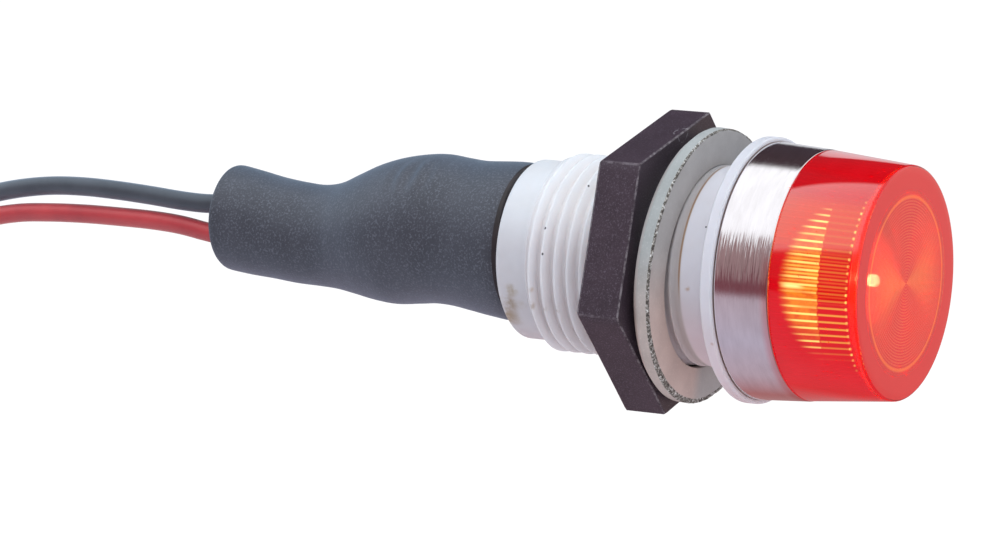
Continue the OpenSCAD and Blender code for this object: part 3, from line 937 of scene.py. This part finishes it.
def lamp_mesh():
    """A round-nosed resin lamp with its flange, and the source inside it."""
    seat = -lamp_high[1]
    tip = -lamp_low[1]
    flange_r = lamp_high[2]
    flange_front = seat + 1.0
    dome_r = 2.5
    centre = tip - dome_r
    edge = 0.05
    profile = [
        (flange_r - edge, seat), (flange_r, seat + edge), (flange_r, flange_front - edge),
        (flange_r - edge, flange_front), (dome_r, flange_front), (dome_r, centre),
    ]
    profile += [
        (dome_r * math.cos(a), centre + dome_r * math.sin(a))
        for a in np.radians(np.arange(10, 90, 10))
    ]
    rings = [circle(r, s, 96) for r, s in profile]
    resin = loft("lamp_resin", rings, tips=[(0, -seat, 0), (0, -tip, 0)], auto_angle=45)
    core = [(0.5, 1.25), (0.6, 1.35), (0.6, 4.7), (0.55, 4.85), (0.35, 4.9)]
    rings = [circle(r, s, 32) for r, s in core]
    source = loft("lamp_source", rings, tips=[(0, -1.2, 0), (0, -4.92, 0)], auto_angle=60)
    return resin, source


resin, source = lamp_mesh()
dress(resin, resin_material())
dress(source, source_material())
stand_for(resin, "led_lamp", "lamp")
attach(source, "lamp")


def holder_material():
    m = Mat("holder_plastic", Roughness=0.5)
    m.tone(500, (0.70, 0.69, 0.66), (0.78, 0.77, 0.74))
    m.bump(m.noise(2500), 0.01, 0.3)
    return m


def sleeving_material():
    m = Mat("thin_sleeving", Roughness=0.45)
    m.tone(600, (0.68, 0.67, 0.63), (0.8, 0.79, 0.76))
    m.bump(m.noise(1800), 0.015, 0.3)
    return m


def solder_material():
    m = Mat("solder_bead", Metallic=1.0, Roughness=0.28)
    m.tone(1500, (0.52, 0.52, 0.53), (0.70, 0.70, 0.71))
    m.bump(m.noise(2200, 4), 0.03, 0.5)
    return m


def resistor_material():
    """Blue-grey coat with four painted bands."""
    m = Mat("resistor_coat", Roughness=0.3)
    _, s, _ = m.place()
    low, high = box_mm("resistor")
    coat = m.cloud(900, (0.20, 0.33, 0.38), (0.25, 0.40, 0.46))
    # how far along each band is, and its colour
    for at, col in (
        (0.22, (0.45, 0.2, 0.05)), (0.38, (0.02, 0.02, 0.02)),
        (0.54, (0.4, 0.03, 0.02)), (0.78, (0.6, 0.42, 0.1)),
    ):
        centre = -(low[1] + at * (high[1] - low[1]))
        coat = m.mix(m.band(s, centre - 0.2, centre + 0.2, 0.02), coat, col)
    m.color(coat)
    m.bump(m.noise(1400), 0.02, 0.3)
    return m


sleeving = sleeving_material()
solder = solder_material()
dress(nodes["lamp_holder"], holder_material())
dress(nodes["resistor"], resistor_material())
for name in ("positive_inner_sleeve", "negative_inner_sleeve"):
    dress(nodes[name], sleeving)
for name in ("anode_solder", "red_solder", "black_solder"):
    dress(nodes[name], solder)
for name in (
    "anode_leg", "cathode_leg", "resistor_front_wire", "resistor_back_wire",
    "red_inner_strands", "black_inner_strands",
):
    dress(nodes[name], tinned)

# ---- nut

SCRATCH_CENTRE = (-0.9, 5.4, 9.3)  # of the arc that the scratch follows


def nut_material(name, edge):
    """Aubergine-black plastic; the edge kind is rubbed lighter."""
    m = Mat(name, Roughness=0.4, Specular_IOR_Level=0.45)
    grain = m.noise(9000, 3, 0.65)
    tone = m.cloud(350, (0.033, 0.022, 0.031), (0.050, 0.033, 0.046), 4)
    tone = m.mix(m.step(grain, 0.5, 0.72), tone, (0.115, 0.09, 0.115))
    if edge:
        worn = m.step(m.noise(2300, 5, 0.7), 0.42, 0.62)
        tone = m.mix(worn, tone, (0.18, 0.155, 0.17))
    else:
        # rubbed in patches along the six corners
        x, _, z = m.xyz()
        angle = m.math("SUBTRACT", m.math("ARCTAN2", z, x), NUT_TURN)
        off_flat = m.apart(m.math("FRACT", m.math("DIVIDE", angle, PI / 3)), 0.5)
        patches = m.step(m.noise(1500, 4, 0.7), 0.4, 0.6)
        _, s, _ = m.place()
        behind_face = m.step(s, NUT_FRONT - 0.02, NUT_FRONT - 0.1)
        rubbed = m.times(m.step(off_flat, 0.487, 0.496), patches, behind_face, 0.6)
        tone = m.mix(rubbed, tone, (0.20, 0.17, 0.19))
        # one curved scratch, broken and uneven
        gap = m.vector("DISTANCE", m.coords, [c * MM for c in SCRATCH_CENTRE])
        gap = m.math("ADD", gap, m.sway(0.4 * MM, 900, 3))
        scratch = m.band(gap, 0.74 * MM, 0.79 * MM, 0.03 * MM)
        scratch = m.times(scratch, m.step(m.noise(2600, 3), 0.45, 0.55))
        tone = m.mix(scratch, tone, (0.36, 0.33, 0.36))
    m.color(tone)
    m.bump(grain, 0.012, 0.5)
    return m


def nut_mesh():
    """The hexagon nut, and which of its two materials a polygon takes."""
    sides = 6 * 30

    def hexagon(shrink, s):
        out = []
        for k in range(sides):
            t = 2 * PI * k / sides
            r = NUT_AF / 2 / math.cos((t - NUT_TURN) % (PI / 3) - PI / 6) - shrink
            out.append((r * math.cos(t), -s, r * math.sin(t)))
        return out

    def round_ring(r, s):
        angles = [2 * PI * k / sides for k in range(sides)]
        return [(r * math.cos(a), -s, r * math.sin(a)) for a in angles]

    bore = THREAD_R + FIT_GAP
    lead_in = 0.3
    front_bevel = 0.1
    back_bevel = 0.2
    face_r = 8.3
    rings = [
        round_ring(bore, NUT_FRONT - lead_in), round_ring(bore + lead_in, NUT_FRONT),
        round_ring(face_r, NUT_FRONT), hexagon(front_bevel, NUT_FRONT),
        hexagon(0, NUT_FRONT - front_bevel), hexagon(0, NUT_BACK + back_bevel),
        hexagon(back_bevel, NUT_BACK), round_ring(face_r, NUT_BACK),
        round_ring(bore + lead_in, NUT_BACK), round_ring(bore, NUT_BACK + lead_in),
    ]
    edge_rows = (3, 5)  # the two bevels
    obj = loft("nut_moulding", rings, closed=True, auto_angle=28)
    return obj, lambda poly: 1 if poly.index // sides in edge_rows else 0


nut, nut_part = nut_mesh()
dress(nut, nut_material("black_plastic", False), nut_material("worn_edge", True), pick=nut_part)
stand_for(nut, "mounting_nut", "nut")

# ---- washer


def rubber_material(name, low, high, flash):
    """Grey rubber, lighter and pinker low down with painted warm light; the flash kind has a torn,
    dirty line round its rim.
    """
    m = Mat(name, Roughness=0.75)
    r, _, t = m.place()
    tone = m.tone(520, low, high, detail=5)
    speck = m.step(m.noise(7000, 3, 0.7), 0.55, 0.7)
    tone = m.mix(m.times(speck, 0.5), tone, (0.55, 0.56, 0.53))
    # painted warm light from below: lighter and pinker on the lower -X side
    warm_light_below = m.times(m.step(t, 70, 110), m.step(t, 178, 165))
    tone = m.mix(warm_light_below, tone, (1.36, 1.12, 1.04), "MULTIPLY")
    if flash:
        # the line is thin, and widens into a rough band at the lower left
        reach = m.math("ADD", m.times(m.band(t, 105, 165, 22), -0.15), WASHER_R - 0.25)
        past = m.math("SUBTRACT", r, reach)
        line = m.step(m.math("ADD", past, m.sway(0.16, 700, 4, 0.7)), 0.0, 0.05)
        dots = [
            (0.40, (0.06, 0.05, 0.045)), (0.50, (0.20, 0.18, 0.15)),
            (0.58, (0.42, 0.40, 0.37)), (0.66, (0.90, 0.89, 0.85)),
        ]
        tone = m.mix(line, tone, m.ramp(m.noise(5200, 3, 0.75), dots))
    m.color(tone)
    m.bump(m.noise(3800, 4), 0.02, 0.6)
    return m


def washer_mesh():
    """The leaning washer, and which of its three materials a polygon takes."""
    sides = 320
    h = WASHER_T / 2
    r = WASHER_R
    c = WASHER_CHAMFER
    bore = THREAD_R + 0.11
    gap = 0.05
    drop = 0.05
    cos_l = math.cos(WASHER_LEAN)
    sin_l = math.sin(WASHER_LEAN)
    centre_y = -NUT_FRONT - gap - (r - c) * sin_l - h * cos_l
    # (radius, s in the washer's own frame, how ragged)
    profile = [
        (bore, h, 0), (8.4, h, 0), (9.1, h, 0), (r - 0.3, h, 0.2), (r - 0.14, h + 0.02, 1),
        (r - 0.03, h - 0.02, 1), (r, h - 0.12, 0.4), (r, h - 0.25, 0), (r, 0.0, 0),
        (r, c - h + 0.05, 0), (r - 0.04, c - h - 0.02, 0), (r - c + 0.03, -h + 0.02, 0),
        (r - c - 0.05, -h, 0), (8.2, -h, 0), (bore, -h, 0),
    ]
    rings = []
    for i, (pr, ps, ragged) in enumerate(profile):
        ring = []
        for k in range(sides):
            t = 2 * PI * k / sides
            rough = noise.noise(Vector((math.cos(t) * 42, math.sin(t) * 42, i * 0.9)))
            slow = noise.noise(Vector((math.cos(t) * 9, math.sin(t) * 9, 5.0)))
            edge = 1 if 2 < i < 12 else 0
            rr = pr + 0.03 * ragged * rough + edge * (0.006 * rough + 0.012 * slow)
            ss = ps + 0.035 * ragged * rough
            x, y, z = -rr * math.sin(t), -ss, rr * math.cos(t)
            y, z = y * cos_l - z * sin_l, y * sin_l + z * cos_l
            ring.append((x, y + centre_y, z - drop))
        rings.append(ring)
    obj = loft("washer_moulding", rings, closed=True, auto_angle=35)
    slot = {2: 1, 3: 1, 4: 1, 5: 1, 6: 2, 7: 2, 8: 2, 9: 2}  # torn edge, then rim
    return obj, lambda poly: slot.get(poly.index // sides, 0)


FACE_GREY = ((0.43, 0.405, 0.385), (0.50, 0.475, 0.45))
# the rim takes a darker grey than the face: painted shade
SHADED_RIM_GREY = ((0.33, 0.345, 0.335), (0.41, 0.425, 0.415))
washer, washer_part = washer_mesh()
dress(
    washer,
    rubber_material("grey_rubber", *FACE_GREY, False),
    rubber_material("torn_flash", *FACE_GREY, True),
    rubber_material("rubber_rim", *SHADED_RIM_GREY, False),
    pick=washer_part,
)
stand_for(washer, "sealing_washer", "washer")

# ---- sleeve

# how far back each ring is, its radius, and how high its centre
SLEEVE_RINGS = [
    (0, 5, 0.45), (0.4, 5.34, 0.42), (0.7, 5.58, 0.4), (1.6, 5.63, 0.4),
    (3.2, 5.5, 0.45), (4.7, 5.35, 0.55), (6.2, 5.3, 0.72), (7.7, 5.34, 0.8),
    (9.2, 5.35, 0.65), (11, 5.25, 0.4), (12.7, 4.9, 0.2), (14.3, 4.4, -0.05),
    (16, 3.9, -0.35), (17.7, 3.7, -0.5), (19.5, 3.7, -0.45), (21.5, 3.7, -0.25),
    (23.5, 3.8, 0), (24.95, 3.85, 0.2), (25.25, 3.78, 0.25),
]
SLEEVE_STEPS = 8
LIP_LEN = 0.7
LIP_R = 5.56
LIP_END = math.radians(80)
LIP_LOW = 0.12
CREASE_ANGLE = 0.62  # radians
CREASE_BACK = 8.6
CREASE_DEPTH = 0.1
DUST = [
    # where, how wide (mm)
    ((-4.28, 18.57, 3.29), 0.35), ((-4.86, 18.0, 2.36), 0.3), ((-4.64, 18.69, 2.76), 0.25),
    ((-5.02, 20.08, 2.0), 0.2), ((-4.55, 18.3, 2.9), 0.3),
]


def sleeve_material(name, lip):
    """Shrunk vinyl with a fine matt grain; the lip kind is its cut edge, darker with painted shade."""
    m = Mat(
        name,
        Roughness=0.48,
        Sheen_Weight=0.05 if lip else 0.42,
        Sheen_Roughness=0.55,
        Sheen_Tint=(0.58, 0.79, 1.0, 1),
    )
    fine = m.noise(6500, 3, 0.65)
    if lip:
        # painted shade: the cut edge, turned inwards, is darker
        tone = m.cloud(900, (0.012, 0.009, 0.01), (0.03, 0.022, 0.024), 4)
    else:
        tone = m.cloud(300, (0.029, 0.029, 0.037), (0.043, 0.043, 0.054), 4)
        tone = m.mix(m.step(fine, 0.48, 0.70), tone, (0.10, 0.104, 0.126))
        for spot, width in DUST:
            mark = m.times(m.near(spot, 0.3 * width, width), m.step(m.noise(3200, 3), 0.5, 0.62))
            tone = m.mix(m.times(mark, 0.8), tone, (0.42, 0.45, 0.5))
    m.color(tone)
    m.bump(fine, 0.02, 0.5)
    return m


def wrinkle(t, back):
    """Shallow creases on the bulge's shoulder, in mm."""
    u = (t - CREASE_ANGLE) / 0.38
    v = (back - CREASE_BACK) / 2.6
    near = max(0.0, 1 - u * u - v * v)
    wave = math.sin(5.2 * back + 6.0 * t + 1.5 * math.sin(4.0 * t + 0.8 * back))
    return CREASE_DEPTH * near * wave


def sleeve_mesh():
    """The shrunk sleeve, and which of its two materials a polygon takes."""
    sides = 200
    line = smooth_route(SLEEVE_RINGS, per=SLEEVE_STEPS)
    length = SLEEVE_RINGS[-1][0]

    def ring(back_to, wide, high, inset):
        out = []
        for k in range(sides):
            t = 2 * PI * k / sides
            fold = min(t, 2 * PI - t)
            turned_in = max(0.0, (math.cos(fold) - math.cos(LIP_END)) / (1 - math.cos(LIP_END)))
            back = back_to
            r = wide
            if back < LIP_LEN:
                keep = turned_in**0.5
                r = r * keep + LIP_R * (1 - keep)
                back = back * (LIP_LOW + (1 - LIP_LOW) * keep)
            n = noise.noise(Vector((math.sin(t) * 1.4, math.cos(t) * 1.4, back * 0.22)))
            ends = min(1, max(0.0, back - LIP_LEN) / 2) * min(1, (length - back) / 2)
            r += (0.06 * n + (wrinkle(t, back) if inset == 0 else 0)) * ends - inset
            out.append((-r * math.sin(t), SLEEVE_FRONT + back, high + r * math.cos(t)))
        return out

    rings = [ring(*p, 0) for p in line] + [ring(*p, SLEEVE_WALL) for p in reversed(line)]
    obj = loft("sleeve_skin", rings, closed=True, auto_angle=35)
    # the lip is the first two stretches and the row that closes the skin in front
    lip_rows = set(range(2 * SLEEVE_STEPS)) | {len(rings) - 1}
    return obj, lambda poly: 1 if poly.index // sides in lip_rows else 0


sleeve, sleeve_part = sleeve_mesh()
dress(
    sleeve,
    sleeve_material("shrunk_sleeve", False),
    sleeve_material("sleeve_lip", True),
    pick=sleeve_part,
)
stand_for(sleeve, "outer_sleeve", "lamp")

# ---- studio

FLOOR_SIZE = 2500
FLOOR_Z = -80
WHITE = (1, 1, 1)
SKY_LOW = (0.27, 0.26, 0.29)
SKY_HIGH = (0.66, 0.76, 0.88)

# What mirrors sees long strip lights and flags round the lamp, and another set
# in front of it. Their places are degrees round its axis, from +X over the top.
SIDE_LIGHTS = [
    (0, (0.70, 0.72, 0.76)), (11, (0.75, 0.76, 0.80)), (14, (0.05, 0.035, 0.045)),
    (64, (0.06, 0.035, 0.04)), (68, (1.2, 1.2, 1.22)), (141, (1.15, 1.14, 1.17)),
    (147, (0.38, 0.25, 0.25)), (176, (0.36, 0.22, 0.23)), (181, (0.19, 0.06, 0.075)),
    (191, (0.20, 0.065, 0.08)), (195, (0.50, 0.40, 0.46)), (235, (0.50, 0.44, 0.54)),
    (275, (0.50, 0.38, 0.44)), (310, (0.42, 0.16, 0.16)), (345, (0.45, 0.25, 0.25)),
    (360, (0.70, 0.72, 0.76)),
]
FRONT_LIGHTS = [
    (0, (0.6, 0.55, 0.5)), (20, (1.1, 1.1, 1.1)), (140, (1.1, 1.1, 1.1)),
    (160, (0.3, 0.2, 0.2)), (200, (0.2, 0.14, 0.14)), (300, (0.4, 0.3, 0.3)),
    (345, (0.42, 0.28, 0.25)), (360, (0.6, 0.5, 0.45)),
]


def make_sky():
    """A soft grey sky, strip lights for what mirrors, and white for the camera."""
    world = bpy.data.worlds.new("studio")
    scene.world = world
    world.use_nodes = True
    world.node_tree.nodes.clear()
    sky = Nodes(world.node_tree)
    toward = sky.new("ShaderNodeSeparateXYZ")
    sky.link(sky.new("ShaderNodeTexCoord").outputs["Generated"], toward.inputs[0])
    x, y, z = toward.outputs
    turn = sky.math("FRACT", sky.math("DIVIDE", sky.math("ARCTAN2", z, x), 2 * PI))

    def background(color):
        n = sky.new("ShaderNodeBackground")
        sky.put_color(n.inputs["Color"], color)
        return n.outputs[0]

    def strips(lights):
        stops = [(degrees / 360, color) for degrees, color in lights]
        return background(sky.ramp(turn, stops))

    in_front = sky.math("MULTIPLY", sky.math("ADD", y, 0.1), -10.0, clamp=True)
    mirrored = sky.mix_shader(in_front, strips(SIDE_LIGHTS), strips(FRONT_LIGHTS))
    height = sky.math("MULTIPLY", sky.math("ADD", z, 1.0), 0.5)
    diffuse = background(sky.ramp(height, [(0.0, SKY_LOW), (1.0, SKY_HIGH)]))
    path = sky.new("ShaderNodeLightPath").outputs
    seen = sky.math("MAXIMUM", path["Is Camera Ray"], path["Is Transmission Ray"])
    seen = sky.math("MAXIMUM", seen, sky.math("GREATER_THAN", path["Transmission Depth"], 0.5))
    lit = sky.mix_shader(path["Is Glossy Ray"], diffuse, mirrored)
    lit = sky.mix_shader(seen, lit, background(WHITE))
    sky.link(lit, sky.new("ShaderNodeOutputWorld").inputs["Surface"])


def floor_material():
    """Pale floor that the camera sees as white, with the object's shadow."""
    m = Mat("pale_floor", Roughness=0.8)
    m.tone(3, (0.76, 0.68, 0.68), (0.78, 0.70, 0.70), detail=2)
    glow = m.new("ShaderNodeEmission")
    glow.inputs["Strength"].default_value = 1.12
    ray = m.new("ShaderNodeLightPath").outputs
    share = m.times(m.math("MAXIMUM", ray["Is Camera Ray"], ray["Is Transmission Ray"]), 0.85)
    both = m.mix_shader(share, m.shader.outputs[0], glow.outputs[0])
    m.link(both, m.out.inputs["Surface"])
    return m


def make_floor():
    """A floor below the ends of the leads."""
    corners = ((-1, -1), (1, -1), (1, 1), (-1, 1))
    points = [(x * FLOOR_SIZE, y * FLOOR_SIZE, FLOOR_Z) for x, y in corners]
    floor = mesh_object("floor", points, [(0, 1, 2, 3)], outward=False)
    dress(floor, floor_material())
    floor.visible_glossy = False
    return floor


def soft_light(name, place, target, size, watts):
    """A large light, in metres and watts, that isn't mirrored in the object."""
    data = bpy.data.lights.new(name, "AREA")
    data.shape = "RECTANGLE"
    data.size, data.size_y = size
    data.energy = watts
    obj = bpy.data.objects.new(name, data)
    scene.collection.objects.link(obj)
    obj.location = place
    obj.rotation_mode = "QUATERNION"
    obj.rotation_quaternion = (Vector(target) - Vector(place)).to_track_quat("-Z", "Y")
    obj.visible_glossy = False
    obj.visible_transmission = False


make_sky()
make_floor()
soft_light("key", (-0.22, 0.0, 0.68), (0, 0.02, 0), (0.5, 0.7), 3.2)
soft_light("fill", (-0.5, -0.6, 0.1), (0, 0.0, 0), (0.6, 0.6), 1.0)

scene.view_settings.view_transform = "Standard"
